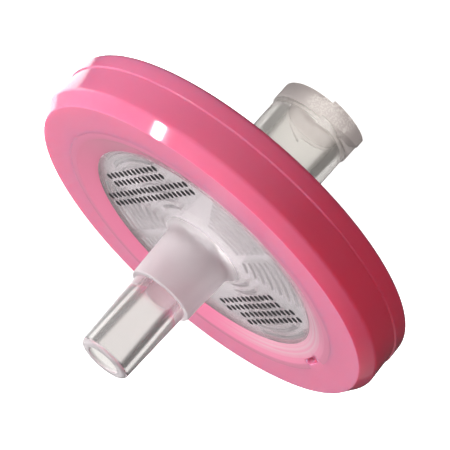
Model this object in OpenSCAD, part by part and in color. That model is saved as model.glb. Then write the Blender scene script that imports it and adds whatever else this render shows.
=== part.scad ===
// Disposable syringe filter, 25 mm class, with a female luer lock inlet and a male luer outlet.
// It stands on its inlet end: the flow axis is Z, the inlet mouth lies at z = 0 and the outlet
// points up. Two moulded housing halves clamp the membrane, and a ring moulded over both rims
// holds them shut. Every part is a turned form, apart from the lugs and the drainage ribs.

/* [Membrane] */
// Diameter of the membrane disc
membrane_d = 24.8; // [22:0.1:30]
// Thickness of the membrane
membrane_t = 0.2; // [0.1:0.05:0.4]
// Clearance round the membrane in its seat
membrane_fit = 0.05; // [0.02:0.01:0.1]

/* [Housing halves] */
// Width of the lip that closes round the membrane's seat
seat_lip_w = 0.45; // [0.3:0.05:1]
// Width of the band that clamps the membrane's edge
clamp_w = 1; // [0.6:0.1:1.6]
// Thickness of the inlet half's flange under the membrane
inlet_flange_t = 1.35; // [1.1:0.05:2]
// Thickness of the outlet half's flange over the membrane
outlet_flange_t = 0.95; // [0.8:0.05:1.6]
// Height of the outlet half's raised face above its flange
outlet_face_h = 0.7; // [0.5:0.05:1]
// Height of the inlet half's raised face below its flange
inlet_face_h = 0.5; // [0.3:0.05:1]
// Width of the slope round each raised face
face_slope_w = 0.85; // [0.3:0.05:1]
// Depth of the chamber on each side of the membrane
chamber_depth = 0.5; // [0.3:0.05:0.7]

/* [Overmould ring] */
// Width of the ring's front and back lips over the flanges
lip_overlap = 2.6; // [2:0.1:3.4]
// Thickness of the ring's wall outside the flanges
ring_wall = 1.9; // [1.4:0.05:3]
// Thickness of the ring's front lip
front_lip_t = 1.1; // [0.8:0.05:1.6]
// Thickness of the ring's back lip
back_lip_t = 1; // [0.8:0.05:1.6]
// Width of the sloped edge of each opening
opening_slope_w = 0.55; // [0.4:0.05:1.2]
// Rounding of the front opening's edge
opening_edge_r = 0.5; // [0.2:0.1:1.5]
// Width of the bevelled front shoulder
shoulder_w = 0.7; // [0.4:0.05:1]
// Height of the bevelled front shoulder
shoulder_h = 1; // [0.6:0.05:1.4]
// Rounding between the shoulder and the wall
shoulder_r = 0.5; // [0.2:0.05:1]
// Rounding of the ring's back edge
back_edge_r = 0.4; // [0.2:0.05:0.7]
// Height of the band below the parting step
foot_h = 1.4; // [1:0.05:1.6]
// Depth of the parting step that the drafted wall ends in
step_w = 0.1; // [0.06:0.02:0.3]
// Length of the gate recess along the front opening's edge
gate_len = 2; // [1.2:0.1:3]
// Width of the gate recess
gate_w = 0.5; // [0.3:0.05:0.8]
// Depth of the gate recess
gate_depth = 0.5; // [0.2:0.05:0.6]
// Direction of the gate recess from the X axis, in degrees
gate_angle = 174; // [0:1:359]
// Gap of the moulded bond between the ring and the flanges
bond_gap = 0.02; // [0.01:0.01:0.05]

/* [Outlet luer] */
// Diameter of the hub where it leaves the face
hub_base_d = 5.4; // [5:0.1:6.4]
// Diameter of the hub at the collar
hub_top_d = 5; // [4.8:0.05:5.4]
// Height of the hub, from the face to the collar
hub_h = 4.6; // [3:0.1:8]
// Rounding between the hub and the face
hub_fillet_r = 0.8; // [0.4:0.05:1.2]
// Length of the male cone, from the collar to the tip
male_len = 6.1; // [5:0.1:8]
// Diameter of the male cone at its tip
male_tip_d = 3.97; // [3.93:0.01:4.02]
// Rounding of the male cone's tip
tip_round_r = 0.35; // [0.1:0.05:0.5]
// Diameter of the outlet bore at the tip
outlet_bore_tip_d = 2.44; // [1.8:0.02:2.6]
// Diameter of the outlet bore at the chamber
outlet_bore_root_d = 2; // [1.4:0.05:2.2]

/* [Inlet luer] */
// Length of the barrel, from the mouth to the inlet face
barrel_len = 9.65; // [8.6:0.05:14]
// Outside diameter of the barrel
barrel_d = 6.35; // [6:0.05:6.5]
// Outside diameter of the band at the barrel's mouth
mouth_band_d = 6.6; // [6.55:0.01:6.7]
// Height of the band at the barrel's mouth
mouth_band_h = 1.4; // [1:0.1:3]
// Rounding between the barrel and the inlet face
barrel_fillet_r = 0.6; // [0.3:0.05:1.2]
// Diameter of the socket at its mouth
socket_mouth_d = 4.3; // [4.27:0.005:4.315]
// Depth of the tapered socket
socket_depth = 8; // [7.5:0.1:8.4]
// Diameter of the inlet port
port_d = 1.6; // [1:0.1:2.4]

/* [Lock lugs] */
// Diameter over the two lugs
lug_d = 7.8; // [7.73:0.01:7.83]
// Angle that each lug spans
lug_span = 64; // [40:1:75]
// Direction in which the first lug starts
lug_start = 206; // [180:1:240]
// Height of a lug's crest at its low end
lug_low_h = 0.75; // [0.5:0.05:1.2]
// Rise of the lugs' flank in one full turn
lug_lead = 5; // [4.8:0.05:5.2]
// Slope of the lugs' flank towards the barrel, in degrees
lug_flank = 25; // [15:1:35]
// Angle of the ramp at each lug's low end
lug_ramp = 5; // [2:1:15]

/* [Drainage ribs] */
// Radius of the innermost concentric rib
rib_first_r = 3.9; // [3.5:0.1:5]
// Distance from one concentric rib to the next
rib_pitch = 0.75; // [0.6:0.05:1.5]
// Width of a rib at its crest
rib_crest_w = 0.22; // [0.15:0.01:0.35]
// Width of a rib at its root
rib_root_w = 0.4; // [0.3:0.01:0.5]
// Width of the straight slot across the ribs
slot_w = 0.76; // [0.4:0.02:1.2]
// Offset of the slot from the filter's axis
slot_offset = 1.38; // [0.5:0.02:2]
// Direction of the slot from the X axis, in degrees
slot_angle = 252; // [240:1:265]
// Radius of the drainage funnel round the outlet bore
funnel_r = 3.1; // [2.5:0.1:3.2]
// Depth of the drainage funnel
funnel_depth = 0.5; // [0.2:0.05:0.6]
// Number of radial ribs in the inlet chamber
spoke_count = 12; // [6:1:20]
// Width of a radial rib
spoke_w = 0.5; // [0.3:0.05:0.8]
// Radius at which the radial ribs start
spoke_first_r = 2.4; // [1.8:0.1:4]

/* [Hidden] */
$fn = 96;

luer_taper = 0.06;           // all luer cones lose 6 % of their length in diameter
arc_step = 10;               // most that an outline turns between two points, in degrees
edge_r = 0.12;               // small rounding of moulded edges
sink = 0.05;                 // how far a rib's root reaches into its wall
lug_nose = 0.8;              // share of its depth with which a lug's ramp starts

// Radii
membrane_r = membrane_d / 2;
seat_r = membrane_r + membrane_fit;
flange_r = seat_r + seat_lip_w;
chamber_r = membrane_r - clamp_w;
opening_r = flange_r - lip_overlap;
face_r = opening_r - face_slope_w;
ring_r = flange_r + ring_wall;
male_tip_r = male_tip_d / 2;
male_collar_r = male_tip_r + male_len * luer_taper / 2;
socket_mouth_r = socket_mouth_d / 2;
socket_floor_r = socket_mouth_r - socket_depth * luer_taper / 2;
lug_root_r = socket_mouth_r + (mouth_band_d / 2 - socket_mouth_r) / 2;

// Heights
inlet_face_z = barrel_len;
inlet_flange_z = inlet_face_z + inlet_face_h;
membrane_z = inlet_flange_z + inlet_flange_t;
joint_z = membrane_z + membrane_t;
outlet_flange_z = joint_z + outlet_flange_t;
outlet_face_z = outlet_flange_z + outlet_face_h;
collar_z = outlet_face_z + hub_h;
tip_z = collar_z + male_len;
ring_front_z = outlet_flange_z + front_lip_t;
ring_back_z = inlet_flange_z - back_lip_t;
step_z = ring_back_z + foot_h;

// Sectors of the outlet chamber that carry concentric ribs, as [start, end] in degrees. The
// chamber repeats after half a turn, and the sectors between them stay open as collectors.
ribbed_sectors = [[205, 281], [320, 362]];
halves = [0, 180];

// ---- Outlines -------------------------------------------------------------------------------

function unit(v) = v / norm(v);

// Points of the arc that rounds corner b, between its neighbours a and c, by radius r
function corner(a, b, c, r) =
    r == 0 ? [b] :
    let (
        to_a = unit(a - b),
        to_c = unit(c - b),
        half = acos(to_a * to_c) / 2,
        centre = b + unit(to_a + to_c) * r / sin(half),
        first = b + to_a * r / tan(half) - centre,
        last = b + to_c * r / tan(half) - centre,
        steps = max(2, ceil((180 - 2 * half) / arc_step))
    )
    [for (i = [0:steps]) centre + r * unit(first * (steps - i) + last * i)];

// A closed outline from corners given as [radius from the axis, height, rounding]
function outline(corners) =
    let (n = len(corners), at = [for (p = corners) [p[0], p[1]]])
    [for (i = [0:n - 1]) each corner(at[(i + n - 1) % n], at[i], at[(i + 1) % n], corners[i][2])];

// A solid turned about the flow axis from such corners
module turned(corners) {
    rotate_extrude()
        polygon(outline(corners));
}

// A wedge of the round between two directions, out to a radius, from one height to another
module wedge(start, end, radius, z0, z1) {
    reach = radius / cos((end - start) / 8);
    translate([0, 0, z0])
        linear_extrude(z1 - z0)
            polygon([[0, 0], for (i = [0:4]) let (a = start + (end - start) * i / 4) reach * [cos(a), sin(a)]]);
}

// ---- Inlet half -----------------------------------------------------------------------------

// One lock lug: a band whose upper flank climbs as a right-handed screw
module lug(start) {
    crest_r = lug_d / 2;
    steps = ceil(lug_span / 4);
    // A section at angle a into the lug, from the root round the crest and back to the root
    function section(a) =
        let (
            top = lug_low_h + lug_lead * a / 360,
            out = lug_root_r + (crest_r - lug_root_r) * (lug_nose + (1 - lug_nose) * min(1, a / lug_ramp)),
            rise = (out - lug_root_r) * tan(lug_flank),
            dir = [cos(start + a), sin(start + a)]
        )
        [for (p = [
            [lug_root_r, 0],
            [out - edge_r, 0],
            [out, edge_r],
            [out, top],
            [lug_root_r, top + rise]
        ]) [p[0] * dir[0], p[0] * dir[1], p[1]]];
    points = [for (i = [0:steps]) each section(lug_span * i / steps)];
    side = 5;
    polyhedron(points, [
        [for (j = [side - 1:-1:0]) j],
        [for (j = [0:side - 1]) steps * side + j],
        for (i = [0:steps - 1], j = [0:side - 1])
            let (a = i * side + j, b = i * side + (j + 1) % side)
            each [[a, b, a + side], [b, b + side, a + side]]
    ]);
}

// Radial ribs that hold the membrane off the inlet chamber's floor
module inlet_spokes() {
    spoke_len = chamber_r + sink - spoke_first_r;
    for (i = [0:spoke_count - 1])
        rotate([0, 0, 360 * i / spoke_count])
            translate([spoke_first_r, -spoke_w / 2, membrane_z - chamber_depth - sink])
                cube([spoke_len, spoke_w, chamber_depth + sink]);
}

module inlet_housing() {
    color([0.86, 0.87, 0.87, 0.5]) {
        turned([
            [socket_mouth_r, 0, edge_r],
            [mouth_band_d / 2, 0, edge_r],
            [mouth_band_d / 2, mouth_band_h, 0],
            [barrel_d / 2, mouth_band_h + (mouth_band_d - barrel_d) / 2, 0],
            [barrel_d / 2, inlet_face_z, barrel_fillet_r],
            [face_r, inlet_face_z, edge_r],
            [opening_r, inlet_flange_z, 0],
            [flange_r, inlet_flange_z, 0],
            [flange_r, joint_z, 0],
            [seat_r, joint_z, 0],
            [seat_r, membrane_z, 0],
            [chamber_r, membrane_z, 0],
            [chamber_r, membrane_z - chamber_depth, 0],
            [port_d / 2, membrane_z - chamber_depth, 0],
            [port_d / 2, socket_depth, 0],
            [socket_floor_r, socket_depth, edge_r]
        ]);
        inlet_spokes();
        for (turn = halves)
            lug(lug_start + turn);
    }
}

// ---- Membrane -------------------------------------------------------------------------------

module membrane() {
    color([0.97, 0.97, 0.96])
        translate([0, 0, membrane_z])
            cylinder(r = membrane_r, h = membrane_t);
}

// ---- Outlet half ----------------------------------------------------------------------------

// All concentric ribs as full rings, crests down on the membrane
module rib_rings() {
    floor_z = joint_z + chamber_depth;
    last_r = chamber_r - rib_root_w;
    for (r = [rib_first_r:rib_pitch:last_r])
        rotate_extrude()
            polygon([
                [r - rib_crest_w / 2, joint_z],
                [r + rib_crest_w / 2, joint_z],
                [r + rib_root_w / 2, floor_z + sink],
                [r - rib_root_w / 2, floor_z + sink]
            ]);
}

// The straight slot that crosses the wider ribbed sector beside the axis
module drain_slot(turn) {
    rotate([0, 0, slot_angle + turn])
        translate([rib_first_r - rib_pitch, -slot_offset - slot_w / 2, joint_z - sink])
            cube([chamber_r, slot_w, chamber_depth + 3 * sink]);
}

// The drainage side: ribs kept in the ribbed sectors and cut by the slots
module drainage_ribs() {
    difference() {
        intersection() {
            rib_rings();
            for (turn = halves, s = ribbed_sectors)
                wedge(s[0] + turn, s[1] + turn, chamber_r, joint_z - sink, joint_z + chamber_depth + 2 * sink);
        }
        for (turn = halves)
            drain_slot(turn);
    }
}

module outlet_housing() {
    color([0.88, 0.87, 0.88, 0.6]) {
        turned([
            [flange_r, joint_z, 0],
            [flange_r, outlet_flange_z, 0],
            [opening_r, outlet_flange_z, 0],
            [face_r, outlet_face_z, edge_r],
            [hub_base_d / 2, outlet_face_z, hub_fillet_r],
            [hub_top_d / 2, collar_z, edge_r],
            [male_collar_r, collar_z, 0],
            [male_tip_r, tip_z, tip_round_r],
            [outlet_bore_tip_d / 2, tip_z, edge_r],
            [outlet_bore_root_d / 2, joint_z + chamber_depth + funnel_depth, 0],
            [funnel_r, joint_z + chamber_depth, 0],
            [chamber_r, joint_z + chamber_depth, 0],
            [chamber_r, joint_z, 0]
        ]);
        drainage_ribs();
    }
}

// ---- Overmould ring -------------------------------------------------------------------------

// The narrow recess beside the front opening where the ring's plastic was fed in
module gate_recess(centre_r) {
    rotate([0, 0, gate_angle])
        translate([centre_r, 0, ring_front_z - gate_depth]) {
            for (side = [-1, 1])
                translate([0, side * (gate_len - gate_w) / 2, 0])
                    cylinder(d = gate_w, h = 2 * gate_depth);
            translate([-gate_w / 2, -(gate_len - gate_w) / 2, 0])
                cube([gate_w, gate_len - gate_w, 2 * gate_depth]);
        }
}

module overmould_ring() {
    opening_top_r = opening_r + opening_slope_w;
    color([0.89, 0.44, 0.55])
        difference() {
            turned([
                [opening_r, outlet_flange_z + bond_gap, 0],
                [opening_top_r, ring_front_z, opening_edge_r],
                [ring_r - shoulder_w, ring_front_z, edge_r],
                [ring_r, ring_front_z - shoulder_h, shoulder_r],
                [ring_r - step_w, step_z + step_w / 2, 0],
                [ring_r, step_z - step_w / 2, edge_r / 2],
                [ring_r - step_w / 2, ring_back_z, back_edge_r],
                [opening_top_r, ring_back_z, edge_r],
                [opening_r, inlet_flange_z - bond_gap, 0],
                [flange_r + bond_gap, inlet_flange_z - bond_gap, 0],
                [flange_r + bond_gap, outlet_flange_z + bond_gap, 0]
            ]);
            gate_recess(opening_top_r + edge_r);
        }
}

inlet_housing();
membrane();
outlet_housing();
overmould_ring();
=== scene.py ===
"""Looks of the syringe filter: smooth skins, plastics, ink dots, studio light and camera."""
import math

import bmesh
import bpy
from mathutils import Matrix, Vector


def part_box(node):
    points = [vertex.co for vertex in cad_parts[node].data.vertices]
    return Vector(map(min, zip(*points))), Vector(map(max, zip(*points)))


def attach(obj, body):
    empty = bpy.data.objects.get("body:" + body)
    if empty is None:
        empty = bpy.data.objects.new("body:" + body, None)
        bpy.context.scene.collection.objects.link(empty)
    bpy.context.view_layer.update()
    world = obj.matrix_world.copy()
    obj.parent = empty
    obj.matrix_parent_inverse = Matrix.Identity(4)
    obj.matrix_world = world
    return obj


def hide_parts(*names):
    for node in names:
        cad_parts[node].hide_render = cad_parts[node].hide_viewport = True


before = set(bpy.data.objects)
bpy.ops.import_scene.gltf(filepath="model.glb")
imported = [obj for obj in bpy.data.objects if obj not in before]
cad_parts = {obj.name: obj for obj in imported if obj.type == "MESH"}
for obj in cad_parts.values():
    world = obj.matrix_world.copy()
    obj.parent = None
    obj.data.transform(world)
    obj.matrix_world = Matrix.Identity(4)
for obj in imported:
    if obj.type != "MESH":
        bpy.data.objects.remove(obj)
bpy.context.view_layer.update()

MM = 0.001

# ---- Sizes ------------------------------------------------------------------------------------

ring_low, ring_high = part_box("overmould_ring")
_, outlet_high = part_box("outlet_housing")
TIP_Z = outlet_high.z
MIDDLE_Z = (ring_low.z + ring_high.z) / 2

FACE_Z = ring_high.z - 0.4 * MM          # the outlet half's raised face lies just below the ring's
COLLAR_Z = FACE_Z + 4.6 * MM             # the collar between the frosted hub and the male cone
MOUTH_BAND_Z = 1.4 * MM                  # the band round the socket's mouth ends here

# ---- Small helpers ----------------------------------------------------------------------------

FADE_IN = (0.0, 1.0)                     # levels of a ramp
FADE_OUT = (1.0, 0.0)


def new_object(name, data):
    """A new object in the scene, which shows a mesh, a light or a camera."""
    obj = bpy.data.objects.new(name, data)
    bpy.context.scene.collection.objects.link(obj)
    return obj


class Nodes:
    """A material or world node tree, with short calls for the nodes that are used here."""

    # Where a Mix node keeps its colours
    COLOUR_A, COLOUR_B, COLOUR_RESULT = 6, 7, 2

    def __init__(self, tree):
        self.tree = tree
        tree.nodes.clear()

    def add(self, kind, inputs=None, **settings):
        """A new node. Its settings come first, because they decide which sockets it has."""
        node = self.tree.nodes.new(kind)
        for key, value in settings.items():
            setattr(node, key, value)
        for key, value in (inputs or {}).items():
            self.set(node.inputs[key], value)
        return node

    def set(self, socket, value):
        """A node, a socket or a plain value goes into a socket."""
        if isinstance(value, bpy.types.Node):
            value = value.outputs[0]
        if isinstance(value, bpy.types.NodeSocket):
            self.tree.links.new(value, socket)
        else:
            socket.default_value = value

    def math(self, operation, a, b=0.0):
        return self.add("ShaderNodeMath", {0: a, 1: b}, operation=operation)

    def product(self, first, *others):
        for other in others:
            first = self.math("MULTIPLY", first, other)
        return first

    def total(self, first, *others):
        for other in others:
            first = self.math("ADD", first, other)
        return first

    def ramp(self, value, span, levels=FADE_IN):
        """A smooth step from one level to the other, while value crosses the span."""
        (low, high), (to_low, to_high) = span, levels
        return self.add(
            "ShaderNodeMapRange",
            {"Value": value, "From Min": low, "From Max": high, "To Min": to_low, "To Max": to_high},
            interpolation_type="SMOOTHSTEP",
        )

    def noise(self, scale, detail, roughness):
        where = self.add("ShaderNodeTexCoord").outputs["Object"]
        return self.add(
            "ShaderNodeTexNoise",
            {"Vector": where, "Scale": scale, "Detail": detail, "Roughness": roughness},
        )

    def bump(self, height, distance, strength):
        return self.add("ShaderNodeBump", {"Height": height, "Distance": distance, "Strength": strength})

    def axes(self, space="Object"):
        """x, y and z as three sockets: a place in metres, or in the world's space a direction."""
        where = self.add("ShaderNodeTexCoord").outputs[space]
        return tuple(self.add("ShaderNodeSeparateXYZ", {0: where}).outputs)

    def place(self):
        """Radius from the flow axis and height, in metres."""
        x, y, z = self.axes()
        return self.math("SQRT", self.total(self.product(x, x), self.product(y, y))), z

    def mix_colour(self, factor, a, b):
        inputs = {0: factor, self.COLOUR_A: a, self.COLOUR_B: b}
        node = self.add("ShaderNodeMix", inputs, data_type="RGBA", blend_type="MIX")
        return node.outputs[self.COLOUR_RESULT]

    def mix_shader(self, factor, a, b):
        return self.add("ShaderNodeMixShader", {0: factor, 1: a, 2: b})


def material(name):
    """A new material and its emptied node tree."""
    made = bpy.data.materials.new(name)
    made.use_nodes = True
    return made, Nodes(made.node_tree)


def finish_material(nodes, shader, volume=None):
    """Puts the shader, and the volume if there is one, on the material's output."""
    output = nodes.add("ShaderNodeOutputMaterial", {"Surface": shader})
    if volume is not None:
        nodes.set(output.inputs["Volume"], volume)


# ---- Materials --------------------------------------------------------------------------------
# Colours are linear red, green, blue and alpha. Two colours in one name are mixed by a noise.
# A name that ends in _X, _Y, _Z or _R is a span along that axis, or of the radius, where something
# fades in or out, and a name that ends in _SHARE is how much of the surface is milky there.

PLASTIC_IOR = 1.5

# Noises: scale per metre, detail and roughness
RING_GRAIN = (9000, 3.0, 0.6)
RING_FLOW = (250, 1.0, 0.4)
PAPER_GRAIN = (14000, 4.0, 0.7)
CLEAR_GRAIN = (6000, 3.0, 0.6)
MOUTH_SPECKS = (7500, 1.0, 0.5)
INK_SPECKS = (9000, 3.0, 0.7)
FLOOR_GRAIN = (40, 2.0, 0.5)
NOISE_SPAN = (0.3, 0.7)                  # nearly all of a noise lies in this span

# Bumps: distance and strength
RING_BUMP = (0.002 * MM, 0.3)
PAPER_BUMP = (0.01 * MM, 0.5)
CLEAR_BUMP = (0.003 * MM, 0.3)
INK_BUMP = (0.004 * MM, 0.4)


def see_through(nodes, surface, tint):
    """Lets direct light through a clear plastic to what lies behind it, as thin walls do."""
    rays = nodes.add("ShaderNodeLightPath")
    clear = nodes.add("ShaderNodeBsdfTransparent", {"Color": tint})
    return nodes.mix_shader(rays.outputs["Is Shadow Ray"], surface, clear)


RING_PINKS = ((0.735, 0.20, 0.337, 1), (0.755, 0.215, 0.357, 1))
RING_ROUGHNESS = (0.07, 0.11)
RING_SPREAD = (1.0, 0.30, 0.36)          # how far red, green and blue light spread below the surface,
RING_SPREAD_UNIT = 1.6 * MM              # in this unit


def ring_plastic():
    """The overmould's pink, with light that spreads below the surface."""
    made, n = material("pink_overmould")
    grain = n.noise(*RING_GRAIN)
    shader = n.add(
        "ShaderNodeBsdfPrincipled",
        {
            "Base Color": n.mix_colour(n.noise(*RING_FLOW), *RING_PINKS),
            "Roughness": n.ramp(grain, NOISE_SPAN, RING_ROUGHNESS),
            "IOR": PLASTIC_IOR,
            "Subsurface Weight": 1.0,
            "Subsurface Radius": RING_SPREAD,
            "Subsurface Scale": RING_SPREAD_UNIT,
            "Normal": n.bump(grain, *RING_BUMP),
        },
    )
    finish_material(n, shader)
    return made


LEDGE_PINK = (0.745, 0.207, 0.347, 1)
LEDGE_FAR_PINK = (0.80, 0.228, 0.375, 1)     # for the light that comes through the ring at the far end
LEDGE_FAR_X = (3 * MM, 9 * MM)
LEDGE_EDGE_SHADE_PINK = (0.69, 0.19, 0.325, 1)     # painted shade: darker where the thin edge lies on the ring, like the ring's face that the ledge shades there
LEDGE_EDGE_R = (10.95 * MM, 11.2 * MM)
LEDGE_SHEEN_PALE = (0.68, 0.50, 0.545, 1)          # painted reflection: the clear skin's pale sheen, towards the gate's end and the clear face
LEDGE_SKIN_SHEEN_X = (-8.5 * MM, -3 * MM)
LEDGE_SKIN_SHEEN_R = (10.1 * MM, 11.0 * MM)
LEDGE_SKIN_SHEEN_LEVELS = (1.0, 0.12)              # how much of the skin and its painted sheen is left over that radius
LEDGE_RIPPLES = {"Scale": 5200.0, "Detail": 1.0}
LEDGE_RIPPLE_SPAN = (0.3, 0.65)
LEDGE_SHEEN_LEVELS = (0.3, 0.68)                 # how much painted sheen there is between the ripples and on them
LEDGE_ROUGHNESS = (0.07, 0.14)
LEDGE_COAT = 0.5
LEDGE_BUMP_DISTANCE = 0.01 * MM


def ledge_plastic():
    """The overmould's pink under a clear skin. Towards the gate's end the skin is rippled and carries a pale
    painted reflection, and painted shade darkens its outer edge.
    """
    made, n = material("pink_ledge")
    x, _, _ = n.axes()
    radius, _ = n.place()
    ripples = n.add("ShaderNodeTexNoise", {"W": radius, **LEDGE_RIPPLES}, noise_dimensions="1D")
    skin_and_sheen = n.product(
        n.ramp(x, LEDGE_SKIN_SHEEN_X, FADE_OUT),
        n.ramp(radius, LEDGE_SKIN_SHEEN_R, LEDGE_SKIN_SHEEN_LEVELS),
    )
    # Painted reflection: the skin turns pale towards the gate's end, more so on its ripples
    pale = n.product(skin_and_sheen, n.ramp(ripples, LEDGE_RIPPLE_SPAN, LEDGE_SHEEN_LEVELS))
    pink = n.mix_colour(n.ramp(x, LEDGE_FAR_X), LEDGE_PINK, LEDGE_FAR_PINK)
    # Painted shade: the ledge's outer edge darkens to the shaded pink of the ring beside it
    pink = n.mix_colour(n.ramp(radius, LEDGE_EDGE_R), pink, LEDGE_EDGE_SHADE_PINK)
    shader = n.add(
        "ShaderNodeBsdfPrincipled",
        {
            "Base Color": n.mix_colour(pale, pink, LEDGE_SHEEN_PALE),
            "Roughness": n.ramp(ripples, NOISE_SPAN, LEDGE_ROUGHNESS),
            "IOR": PLASTIC_IOR,
            "Coat Weight": LEDGE_COAT,
            "Normal": n.bump(ripples, LEDGE_BUMP_DISTANCE, skin_and_sheen),
        },
    )
    finish_material(n, shader)
    return made


MEMBRANE_WHITES = ((0.52, 0.515, 0.53, 1), (0.58, 0.575, 0.59, 1))
MEMBRANE_FAR_WHITE = (0.93, 0.92, 0.94, 1)   # for the light that comes through the ring at the far end
MEMBRANE_FAR_X = (2 * MM, 8 * MM)
MEMBRANE_ROUGHNESS = 0.9


def membrane_paper():
    """The filter disc's white, with a grain as of felt."""
    made, n = material("white_membrane")
    grain = n.noise(*PAPER_GRAIN)
    white = n.mix_colour(grain, *MEMBRANE_WHITES)
    x, _, _ = n.axes()
    white = n.mix_colour(n.ramp(x, MEMBRANE_FAR_X), white, MEMBRANE_FAR_WHITE)
    shader = n.add(
        "ShaderNodeBsdfPrincipled",
        {"Base Color": white, "Roughness": MEMBRANE_ROUGHNESS, "Normal": n.bump(grain, *PAPER_BUMP)},
    )
    finish_material(n, shader)
    return made


# The hub is frosted between these heights, and outside its bore
HUB_FROM_Z = (FACE_Z + 0.02 * MM, FACE_Z + 0.12 * MM)
HUB_TO_Z = (COLLAR_Z - 0.02 * MM, COLLAR_Z + 0.02 * MM)
HUB_R = (1.9 * MM, 2.2 * MM)
STEM_Z = (FACE_Z + 0.5 * MM, FACE_Z + 1.7 * MM)          # the hub above its fillet
DRAINED_Z = (FACE_Z - 0.6 * MM, FACE_Z - 0.4 * MM)       # the ribbed side is below this
NEAR_FACE_Z = (COLLAR_Z - 4.2 * MM, COLLAR_Z - 3.2 * MM)
TIP_END_Z = (TIP_Z - 0.35 * MM, TIP_Z - 0.1 * MM)
FACE_RIM_R = (8.9 * MM, 9.8 * MM)

OUTLET_TINT = (0.97, 0.955, 0.955, 1)
# Painted light: the clear rim beside the ring is tinted with the ring's pink light
OUTLET_RIM_RING_LIGHT_TINT = (0.94, 0.66, 0.73, 1)
OUTLET_MILK = (0.73, 0.68, 0.695, 1)
OUTLET_RIM_RING_LIGHT_MILK = (0.74, 0.45, 0.53, 1)
STEM_MILK = (0.88, 0.80, 0.825, 1)
OUTLET_SHADOW = (0.96, 0.93, 0.935, 1)
OUTLET_ROUGHNESS = (0.08, 0.14)
OUTLET_MILK_ROUGHNESS = 0.3
HUB_FROST = 0.4                          # roughness that is added on the hub,
DRAINED_FROST = 0.09                     # and on the ribbed side

# On the stem, near the face, at the tip, and all over
STEM_SHARE, FACE_SHARE, TIP_SHARE, OUTLET_SHARE = 0.36, 0.19, 0.5, 0.05


def outlet_plastic():
    """Clear plastic with a frosted hub, a matt ribbed side, and a rim tinted pink as painted light from the
    ring.
    """
    made, n = material("translucent_outlet")
    radius, z = n.place()
    hub = n.product(n.ramp(z, HUB_FROM_Z), n.ramp(z, HUB_TO_Z, FADE_OUT), n.ramp(radius, HUB_R))
    stem = n.product(hub, n.ramp(z, STEM_Z))
    drained = n.ramp(z, DRAINED_Z, FADE_OUT)
    near_face = n.ramp(z, NEAR_FACE_Z, FADE_OUT)
    tip = n.ramp(z, TIP_END_Z)
    # Painted light: the pink that the ring's light gives the rim fades in over this radius
    rim = n.ramp(radius, FACE_RIM_R)
    grain = n.noise(*CLEAR_GRAIN)
    normal = n.bump(grain, *CLEAR_BUMP)
    frost = n.total(n.product(hub, HUB_FROST), n.product(drained, DRAINED_FROST))
    clear = n.add(
        "ShaderNodeBsdfPrincipled",
        {
            "Base Color": n.mix_colour(rim, OUTLET_TINT, OUTLET_RIM_RING_LIGHT_TINT),
            "Roughness": n.total(n.ramp(grain, NOISE_SPAN, OUTLET_ROUGHNESS), frost),
            "IOR": PLASTIC_IOR,
            "Transmission Weight": 1.0,
            "Normal": normal,
        },
    )
    milk_colour = n.mix_colour(stem, n.mix_colour(rim, OUTLET_MILK, OUTLET_RIM_RING_LIGHT_MILK), STEM_MILK)
    milk = n.add(
        "ShaderNodeBsdfPrincipled",
        {
            "Base Color": milk_colour,
            "Roughness": OUTLET_MILK_ROUGHNESS,
            "IOR": PLASTIC_IOR,
            "Normal": normal,
        },
    )
    share = n.total(
        n.product(stem, STEM_SHARE),
        n.product(near_face, FACE_SHARE),
        n.product(tip, TIP_SHARE),
        OUTLET_SHARE,
    )
    finish_material(n, see_through(n, n.mix_shader(share, clear, milk), OUTLET_SHADOW))
    return made


MOUTH_END_Z = (MOUTH_BAND_Z, MOUTH_BAND_Z + 0.15 * MM)
RIDGE_Z = (MOUTH_BAND_Z - 0.25 * MM, MOUTH_BAND_Z - 0.1 * MM)
# The mouth band has bright specks on its front. They fade out over these spans.
SPECK_SHIFT = 0.4 * MM                    # how far the specks' middle lies towards -X
SPECK_SIDE_X = (1.5 * MM, 2.3 * MM)       # to both sides of that middle
SPECK_FRONT_Y = (-2.0 * MM, -1.0 * MM)
SPECK_SPAN = (0.48, 0.56)
RIDGE_BRIGHTNESS = 0.4                         # how bright the ridge is beside the specks

INLET_TINT = (0.975, 0.97, 0.955, 1)
BARREL_MILK = (0.80, 0.785, 0.73, 1)
MOUTH_MILK = (0.66, 0.61, 0.605, 1)
SPECK_MILK = (0.97, 0.96, 0.94, 1)
INLET_SHADOW = (0.94, 0.92, 0.91, 1)
INLET_ROUGHNESS = (0.05, 0.10)
MOUTH_FROST = 0.25
MILK_GLOSS_ROUGHNESS = 0.35
MILK_GLOSS = 0.3                         # the rest of the milky surface lets light through

# On the mouth band, where it has bright specks, and all over
MOUTH_SHARE, SPECK_SHARE, INLET_SHARE = 0.32, 0.45, 0.13

# Thick walls seen edge-on turn grey, thin ones stay clear
WALL_COLOUR = (0.80, 0.75, 0.79, 1)
WALL_DENSITY = 100.0


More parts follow.
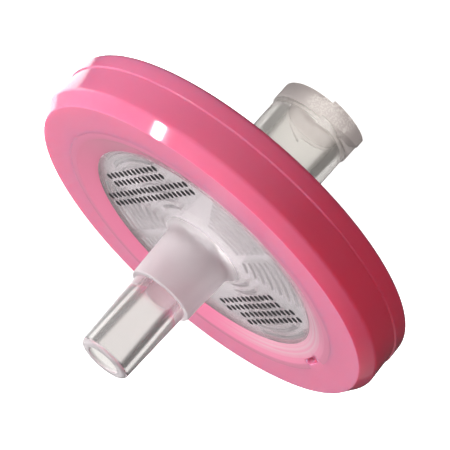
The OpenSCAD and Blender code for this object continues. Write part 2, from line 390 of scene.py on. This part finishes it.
def inlet_plastic():
    """Clear plastic with a milky mouth band, which has bright specks on its front."""
    made, n = material("clear_inlet")
    x, y, z = n.axes()
    mouth = n.ramp(z, MOUTH_END_Z, FADE_OUT)
    ridge = n.product(mouth, n.ramp(z, RIDGE_Z))
    side = n.math("ABSOLUTE", n.total(x, SPECK_SHIFT))
    speck_patch = n.product(n.ramp(side, SPECK_SIDE_X, FADE_OUT), n.ramp(y, SPECK_FRONT_Y, FADE_OUT))
    specks = n.ramp(n.noise(*MOUTH_SPECKS), SPECK_SPAN)
    bright = n.math("MAXIMUM", n.product(mouth, speck_patch, specks), n.product(ridge, RIDGE_BRIGHTNESS))
    grain = n.noise(*CLEAR_GRAIN)
    normal = n.bump(grain, *CLEAR_BUMP)
    clear = n.add(
        "ShaderNodeBsdfPrincipled",
        {
            "Base Color": INLET_TINT,
            "Roughness": n.total(n.ramp(grain, NOISE_SPAN, INLET_ROUGHNESS), n.product(mouth, MOUTH_FROST)),
            "IOR": PLASTIC_IOR,
            "Transmission Weight": 1.0,
            "Normal": normal,
        },
    )
    milk_colour = n.mix_colour(bright, n.mix_colour(mouth, BARREL_MILK, MOUTH_MILK), SPECK_MILK)
    glow = n.add("ShaderNodeBsdfTranslucent", {"Color": milk_colour, "Normal": normal})
    gloss = n.add(
        "ShaderNodeBsdfPrincipled",
        {"Base Color": milk_colour, "Roughness": MILK_GLOSS_ROUGHNESS, "Normal": normal},
    )
    milk = n.mix_shader(MILK_GLOSS, glow, gloss)
    share = n.total(n.product(mouth, MOUTH_SHARE), n.product(bright, SPECK_SHARE), INLET_SHARE)
    wall = n.add("ShaderNodeVolumeAbsorption", {"Color": WALL_COLOUR, "Density": WALL_DENSITY})
    finish_material(n, see_through(n, n.mix_shader(share, clear, milk), INLET_SHADOW), wall)
    return made


INK_BLACKS = ((0.006, 0.005, 0.006, 1), (0.03, 0.026, 0.03, 1))
INK_ROUGHNESS = 0.55


def ink():
    """Matt, near-black ink with fine specks."""
    made, n = material("dark_ink")
    specks = n.noise(*INK_SPECKS)
    shader = n.add(
        "ShaderNodeBsdfPrincipled",
        {
            "Base Color": n.mix_colour(specks, *INK_BLACKS),
            "Roughness": INK_ROUGHNESS,
            "Normal": n.bump(specks, *INK_BUMP),
        },
    )
    finish_material(n, shader)
    return made


FLOOR_GREYS = ((0.80, 0.80, 0.80, 1), (0.84, 0.84, 0.84, 1))
FLOOR_DIM = (0.17, 0.17, 0.17, 1)
WHITE = (1, 1, 1, 1)
WARM_WHITE = (1, 0.985, 0.95, 1)

# The bright lane behind the part
LANE_START = 3 * MM                      # how far in front of the axis it starts to widen
LANE_ANGLE = (math.radians(20), math.radians(36))
LANE_LEVEL = 1.05
SIDE_X = (-1 * MM, 1 * MM)
SIDE_LEVELS = (0.16, 0.34)               # the grey beside it, towards -X and towards +X

# The white card, and the dim rest
CARD_X = (16 * MM, 19 * MM)
CARD_Y = (18 * MM, 21 * MM)
CARD_LEVEL, DIM_LEVEL = 1.9, 0.06


def floor_white():
    """A pale light table in a dim room, which mirrored rays and rays through the part see in other ways."""
    made, n = material("floor_white")
    x, y, _ = n.axes()
    pale = n.mix_colour(n.noise(*FLOOR_GRAIN), *FLOOR_GREYS)
    dim = n.add("ShaderNodeBsdfDiffuse", {"Color": FLOOR_DIM})
    glow = n.add("ShaderNodeEmission", {"Color": WHITE, "Strength": 1.0})
    lit = n.add("ShaderNodeAddShader", {0: n.add("ShaderNodeBsdfDiffuse", {"Color": pale}), 1: glow})

    # Through the clear plastic: a bright lane straight behind the part, and grey to both sides
    turn = n.math("ARCTAN2", n.math("ABSOLUTE", x), n.total(y, LANE_START))
    side = n.ramp(x, SIDE_X, SIDE_LEVELS)
    lane = n.ramp(turn, LANE_ANGLE, FADE_OUT)
    level = n.total(side, n.product(lane, n.math("SUBTRACT", LANE_LEVEL, side)))
    behind = n.add("ShaderNodeEmission", {"Color": WARM_WHITE, "Strength": level})

    # In the gloss: one bright patch behind the part and towards +X, as of a white card
    card = n.product(n.ramp(x, CARD_X), n.ramp(y, CARD_Y))
    level = n.total(n.product(card, CARD_LEVEL), DIM_LEVEL)
    mirrored = n.add("ShaderNodeEmission", {"Color": WHITE, "Strength": level})

    rays = n.add("ShaderNodeLightPath")
    seen = n.mix_shader(rays.outputs["Is Camera Ray"], dim, lit)
    seen = n.mix_shader(rays.outputs["Is Glossy Ray"], seen, mirrored)
    finish_material(n, n.mix_shader(rays.outputs["Is Transmission Ray"], seen, behind))
    return made


# ---- Skins: the solids' surfaces, shaded as the turned faces that they are ---------------------

SMOOTH_ANGLE = math.radians(28)          # faces that meet at more than this have a sharp edge between them
TURNED_FACE = 0.12                       # most that a turned face's normal points along its circle
AXIS_REACH = 0.01 * MM                   # a point nearer the axis than this is on no circle
CIRCLE_DIGITS = 6                        # a circle is known by its size and height to the micrometre
POINT_DIGITS = 9
WELD_REACH = 0.0001 * MM

ROUND_STEP = math.radians(2.6)           # a longer step round a circle is halved,
ROUND_PASSES = 3                         # at most this many times
SAME_CIRCLE = 0.002 * MM                 # the two ends of a step may differ by this in radius and in height
LUER_REACH = 3.6 * MM                    # the radii within which steps are halved
BARREL_REACH = 4.0 * MM


def is_long_step(edge, reach):
    """Whether an edge is a step round a circle within the reach, and longer than it should be."""
    a, b = (v.co for v in edge.verts)
    radii = a.xy.length, b.xy.length
    if min(radii) < AXIS_REACH or max(radii) > reach:
        return False
    if abs(radii[0] - radii[1]) > SAME_CIRCLE or abs(a.z - b.z) > SAME_CIRCLE:
        return False
    return abs(a.xy.angle_signed(b.xy)) > ROUND_STEP


def point_key(point):
    return tuple(round(value, POINT_DIGITS) for value in point)


def round_off(bm, reach):
    """Halves the long steps of turned edges, and puts the new points on the circle."""
    for _ in range(ROUND_PASSES):
        chords = [edge for edge in bm.edges if is_long_step(edge, reach)]
        if not chords:
            return
        growth = {}
        for edge in chords:
            a, b = (v.co for v in edge.verts)
            middle = (a + b) / 2
            radius = (a.xy.length + b.xy.length) / 2
            growth[point_key(middle)] = radius / middle.xy.length
        made = bmesh.ops.subdivide_edges(bm, edges=chords, cuts=1)
        for v in (g for g in made["geom_inner"] if isinstance(g, bmesh.types.BMVert)):
            grow = growth.get(point_key(v.co), 1.0)
            v.co.x *= grow
            v.co.y *= grow
        bmesh.ops.triangulate(bm, faces=[f for f in bm.faces if len(f.verts) > 3])


def circle_of(point):
    """The circle round the flow axis that a point is on: its radius and height."""
    return round(point.xy.length, CIRCLE_DIGITS), round(point.z, CIRCLE_DIGITS)


def face_tilt(mesh, face):
    """How far a turned face's normal leans up from straight outwards."""
    out = Vector((face.center.x, face.center.y, 0)).normalized()
    tilt = math.atan2(face.normal.z, face.normal.dot(out))
    circles = sorted({circle_of(mesh.vertices[v].co) for v in face.vertices})
    if len(circles) == 2:
        # The slope between two circles is exact, where a thin face's own normal is not
        (r_a, z_a), (r_b, z_b) = circles
        exact = math.atan2(r_a - r_b, z_b - z_a)
        tilt = exact if math.cos(exact - tilt) > 0 else math.atan2(r_b - r_a, z_a - z_b)
    return tilt


def smooth_groups(corners):
    """Parts the corners on one circle where there is a sharp edge. A corner is (tilt, area, index)."""
    corners = sorted(corners)
    gaps = [(after[0] - before[0], i + 1) for i, (before, after) in enumerate(zip(corners, corners[1:]))]
    gaps.append((corners[0][0] + math.tau - corners[-1][0], 0))
    # The list is turned to start after its widest gap, so that its ends cut no group in two
    _, start = max(gaps)
    corners = corners[start:] + [(tilt + math.tau, *rest) for tilt, *rest in corners[:start]]
    groups = [[corners[0]]]
    for corner in corners[1:]:
        if corner[0] - groups[-1][-1][0] > SMOOTH_ANGLE:
            groups.append([])
        groups[-1].append(corner)
    return groups


def true_normals(obj):
    """Gives turned faces the same normal all round each of their circles, with no sideways lean."""
    weighted = obj.modifiers.new("flat_faces_stay_flat", "WEIGHTED_NORMAL")
    weighted.keep_sharp = True
    now = obj.evaluated_get(bpy.context.evaluated_depsgraph_get()).data
    normals = [n.vector.copy() for n in now.corner_normals]
    obj.modifiers.clear()
    mesh = obj.data
    circles = {}
    for face in mesh.polygons:
        around = Vector((-face.center.y, face.center.x, 0)).normalized()
        if abs(face.normal.dot(around)) > TURNED_FACE:
            continue
        tilt = face_tilt(mesh, face)
        for corner in face.loop_indices:
            at = mesh.vertices[mesh.loops[corner].vertex_index].co
            if at.xy.length > AXIS_REACH:
                circles.setdefault(circle_of(at), []).append((tilt, face.area, corner))
    for corners in circles.values():
        for group in smooth_groups(corners):
            tilt = sum(t * area for t, area, _ in group) / sum(area for _, area, _ in group)
            for _, _, corner in group:
                at = mesh.vertices[mesh.loops[corner].vertex_index].co
                out = Vector((at.x, at.y, 0)).normalized()
                normals[corner] = out * math.cos(tilt) + Vector((0, 0, math.sin(tilt)))
    mesh.normals_split_custom_set(normals)


def skin(node, name, look, fine_reach=0.0):
    """A welded copy of a CAD node's surface, with finer circles within a radius, which stands for it."""
    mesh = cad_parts[node].data.copy()
    mesh.name = name
    bm = bmesh.new()
    bm.from_mesh(mesh)
    bmesh.ops.remove_doubles(bm, verts=bm.verts, dist=WELD_REACH)
    if fine_reach:
        round_off(bm, fine_reach)
    for face in bm.faces:
        face.smooth = True
    bm.normal_update()
    mesh.clear_geometry()
    bm.to_mesh(mesh)
    bm.free()
    mesh.set_sharp_from_angle(angle=SMOOTH_ANGLE)
    mesh.materials.clear()
    mesh.materials.append(look)
    obj = new_object(name, mesh)
    true_normals(obj)
    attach(obj, "root")
    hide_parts(node)
    return obj


# ---- Printed dots -----------------------------------------------------------------------------

DOT_R = 0.27 * MM
DOT_PITCH = 0.74 * MM
DOT_SIDES = 16
INK_LIFT = 0.004 * MM                    # each dot is a thin disc that stands this far above the face
INK_DEPTH = 0.01 * MM                    # and is let into it this deep
PRINT_WAY = math.radians(254.5)          # the way that the rows run
# Each row: how far beside the axis it runs, and where it starts and ends along its way, in millimetres
PRINT_ROWS = [(-7.1, -3.8, 5.4), (-5.4, -6.6, 7.6), (5.3, -4.6, 4.9), (6.8, -3.4, 6.0)]
ROW_LINES = (-0.5, 0.5)                  # a row has two lines of dots, half a pitch to each side


def add_dot(bm, centre):
    """A thin disc let into the face. Only the centre's x and y count."""
    angles = [math.tau * k / DOT_SIDES for k in range(DOT_SIDES)]
    rims = []
    for height in (FACE_Z - INK_DEPTH, FACE_Z + INK_LIFT):
        centre.z = height
        rims.append([bm.verts.new(centre + Vector((math.cos(a), math.sin(a), 0)) * DOT_R) for a in angles])
    low, high = rims
    bm.faces.new(low[::-1])
    bm.faces.new(high)
    for k in range(DOT_SIDES):
        after = (k + 1) % DOT_SIDES
        bm.faces.new((low[k], low[after], high[after], high[k]))


def printed_dots():
    """Plain rows of small dots, where such filters carry their printed data."""
    along = Vector((math.cos(PRINT_WAY), math.sin(PRINT_WAY), 0))
    aside = Vector((along.y, -along.x, 0))
    bm = bmesh.new()
    for offset, start, end in PRINT_ROWS:
        for i in range(int((end - start) * MM / DOT_PITCH)):
            for line in ROW_LINES:
                centre = along * (start * MM + i * DOT_PITCH) + aside * (offset * MM + line * DOT_PITCH)
                add_dot(bm, centre)
    mesh = bpy.data.meshes.new("printed_dots")
    bm.to_mesh(mesh)
    bm.free()
    mesh.materials.append(ink())
    obj = new_object("printed_dots", mesh)
    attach(obj, "root")


# ---- The ring's ledge -------------------------------------------------------------------------
# The ring's plastic fills the groove round the clear face, in a smooth dish from that face up to the
# ring's own. The outline is (radius, height) in millimetres: the dish from the clear face outwards,
# its thin edge on the ring's face, and then the underside.

LEDGE = [
    (9.46, 13.30), (9.52, 13.335), (9.62, 13.372), (10.0, 13.478), (10.4, 13.585), (10.7, 13.655),
    (10.84, 13.69), (10.95, 13.718), (11.01, 13.736), (11.08, 13.749), (11.16, 13.755), (11.26, 13.757),
    (11.40, 13.756), (11.54, 13.753), (11.68, 13.747), (10.92, 13.60), (10.34, 12.68),
]
LEDGE_STEPS = 288                        # steps round the axis

GATE_ANGLE = math.radians(174)           # where the ring's small slot is
GATE_HALF = math.radians(5.6)            # half of the angle that the slot takes up
# At the gate the dish stops at this radius and height. What lies further out is drawn in to a steep side.
GATE_R, GATE_Z = 10.70, 13.655
GATE_CREEP = 0.1                         # for each step out beyond the radius, the side goes out by this
GATE_FALL = 0.4                          # and down by this


def drawn_in(radius, height):
    """A point of the ledge's outline, as it is at the gate."""
    if radius <= GATE_R:
        return radius, height
    beyond = radius - GATE_R
    return GATE_R + beyond * GATE_CREEP, min(height, GATE_Z) - beyond * GATE_FALL


def ring_ledge():
    """A closed band turned round the flow axis, which leaves the gate's slot open."""
    bm = bmesh.new()
    rings = []
    for i in range(LEDGE_STEPS):
        a = math.tau * i / LEDGE_STEPS
        at_gate = abs(a - GATE_ANGLE) < GATE_HALF
        outline = [drawn_in(*point) for point in LEDGE] if at_gate else LEDGE
        rings.append([bm.verts.new((r * MM * math.cos(a), r * MM * math.sin(a), z * MM)) for r, z in outline])
    for ring, after in zip(rings, rings[1:] + rings[:1]):
        for j in range(len(LEDGE)):
            k = (j + 1) % len(LEDGE)
            bm.faces.new((ring[j], after[j], after[k], ring[k])).smooth = True
    bmesh.ops.recalc_face_normals(bm, faces=bm.faces)
    mesh = bpy.data.meshes.new("ring_ledge")
    bm.to_mesh(mesh)
    bm.free()
    mesh.set_sharp_from_angle(angle=SMOOTH_ANGLE)
    mesh.materials.append(ledge_plastic())
    obj = new_object("ring_ledge", mesh)
    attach(obj, "root")
    return obj


# ---- Pieces -----------------------------------------------------------------------------------

printed_dots()
ring = skin("overmould_ring", "ring_skin", ring_plastic())
ledge = ring_ledge()
skin("membrane", "membrane_skin", membrane_paper())
skin("outlet_housing", "outlet_skin", outlet_plastic(), LUER_REACH)
inlet = skin("inlet_housing", "inlet_skin", inlet_plastic(), BARREL_REACH)

# ---- Floor and light --------------------------------------------------------------------------

FLOOR_HALF = 1.5                         # metres from the middle to a side
FLOOR_GAP = 0.02 * MM                    # the floor lies this far below the part

floor_mesh = bpy.data.meshes.new("floor")
floor_corners = [(x * FLOOR_HALF, y * FLOOR_HALF, 0) for x, y in ((-1, -1), (1, -1), (1, 1), (-1, 1))]
floor_mesh.from_pydata(floor_corners, [], [(0, 1, 2, 3)])
floor_mesh.materials.append(floor_white())
floor = new_object("floor", floor_mesh)
floor.location.z = -FLOOR_GAP

MIDDLE = Vector((0, 0, MIDDLE_Z))


def area_light(name, azimuth, elevation, distance, size, power, colour=(1, 1, 1), mirrored=True):
    """A soft light that looks at the part. Azimuth is from +X towards +Y, size is width and height."""
    data = bpy.data.lights.new(name, "AREA")
    data.shape = "RECTANGLE"
    data.size, data.size_y = size
    data.energy = power
    data.color = colour
    obj = new_object(name, data)
    az, el = math.radians(azimuth), math.radians(elevation)
    way = Vector((math.cos(az) * math.cos(el), math.sin(az) * math.cos(el), math.sin(el)))
    obj.location = MIDDLE + way * distance
    obj.rotation_euler = way.to_track_quat("Z", "Y").to_euler()
    obj.visible_glossy = mirrored
    return obj


def shine_on(light, name, *pieces):
    """Keeps a light to these pieces alone."""
    lit = bpy.data.collections.new(name)
    for piece in pieces:
        lit.objects.link(piece)
    light.light_linking.receiver_collection = lit


area_light("key_softbox", azimuth=-20, elevation=41, distance=0.40, size=(0.030, 0.056), power=0.88)
area_light(
    "overhead_softbox", azimuth=90, elevation=84, distance=0.45, size=(0.30, 0.30), power=0.93, mirrored=False
)

# The red light that a translucent ring carries round to its shaded side
inner_glow = area_light(
    "inner_glow", azimuth=-126, elevation=6, distance=0.45, size=(0.50, 0.16), power=1.0,
    colour=(1.0, 0.08, 0.13), mirrored=False,
)
shine_on(inner_glow, "ring_only", ring, ledge)

# The light that comes up through the clear socket from behind, on its milky plastic
back_glow = area_light(
    "back_glow", azimuth=90, elevation=14, distance=0.45, size=(0.20, 0.20), power=2.3,
    colour=(1.0, 0.985, 0.95), mirrored=False,
)
back_glow.visible_transmission = False
shine_on(back_glow, "socket_only", inlet)

# Spans of a direction's own x and y, which has a length of 1
BACKDROP_Y = (0.2, 0.8)
BACKDROP_LEVELS = (0.04, 0.3)
DIFFUSE_CUT = 0.7                        # the share of the backdrop that diffuse rays don't see
WINDOW_X = (0.3, 0.9)
WINDOW_LEVELS = (0.0, 2.7)


def studio_world():
    """A backdrop that falls off to a dim room on the viewer's side, and a window towards +X."""
    world = bpy.data.worlds.new("studio")
    bpy.context.scene.world = world
    world.use_nodes = True
    n = Nodes(world.node_tree)
    x, y, _ = n.axes("Generated")
    rays = n.add("ShaderNodeLightPath")
    diffuse = rays.outputs["Is Diffuse Ray"]
    kept = n.math("SUBTRACT", 1.0, n.product(diffuse, DIFFUSE_CUT))
    backdrop = n.product(n.ramp(y, BACKDROP_Y, BACKDROP_LEVELS), kept)
    # The window lights surfaces, and nothing mirrors it. The camera sees plain white.
    window = n.product(n.ramp(x, WINDOW_X, WINDOW_LEVELS), diffuse)
    strength = n.math("MAXIMUM", n.total(backdrop, window), rays.outputs["Is Camera Ray"])
    shade = n.add("ShaderNodeBackground", {"Color": WHITE, "Strength": strength})
    n.add("ShaderNodeOutputWorld", {"Surface": shade})


studio_world()

# ---- Camera -----------------------------------------------------------------------------------

VIEW_ELEVATION = math.radians(18.46)
VIEW_ROLL = math.radians(-138.2)
VIEW_DISTANCE = 0.2
LENS = 229.8
SENSOR = 36.0
CLIP_START = 1 * MM
AIM_Z = 11.15 * MM                       # the point on the axis that the view is set out from,
AIM_RIGHT = 0.193 * MM                   # and how far the picture's middle lies to its right
AIM_UP = 0.119 * MM                      # and above it


def camera():
    """The viewer stands on the -Y side and above the ring, with the camera turned over."""
    level_right = Vector((1, 0, 0))
    level_up = Vector((0, math.sin(VIEW_ELEVATION), math.cos(VIEW_ELEVATION)))
    right = level_right * math.cos(VIEW_ROLL) + level_up * math.sin(VIEW_ROLL)
    up = level_up * math.cos(VIEW_ROLL) - level_right * math.sin(VIEW_ROLL)
    back = right.cross(up)
    data = bpy.data.cameras.new("camera")
    data.lens = LENS
    data.sensor_width = SENSOR
    data.clip_start = CLIP_START
    obj = new_object("camera", data)
    place = Vector((0, 0, AIM_Z)) + right * AIM_RIGHT + up * AIM_UP + back * VIEW_DISTANCE
    obj.matrix_world = Matrix.Translation(place) @ Matrix((right, up, back)).transposed().to_4x4()
    bpy.context.scene.camera = obj


camera()
bpy.context.scene.view_settings.view_transform = "Standard"
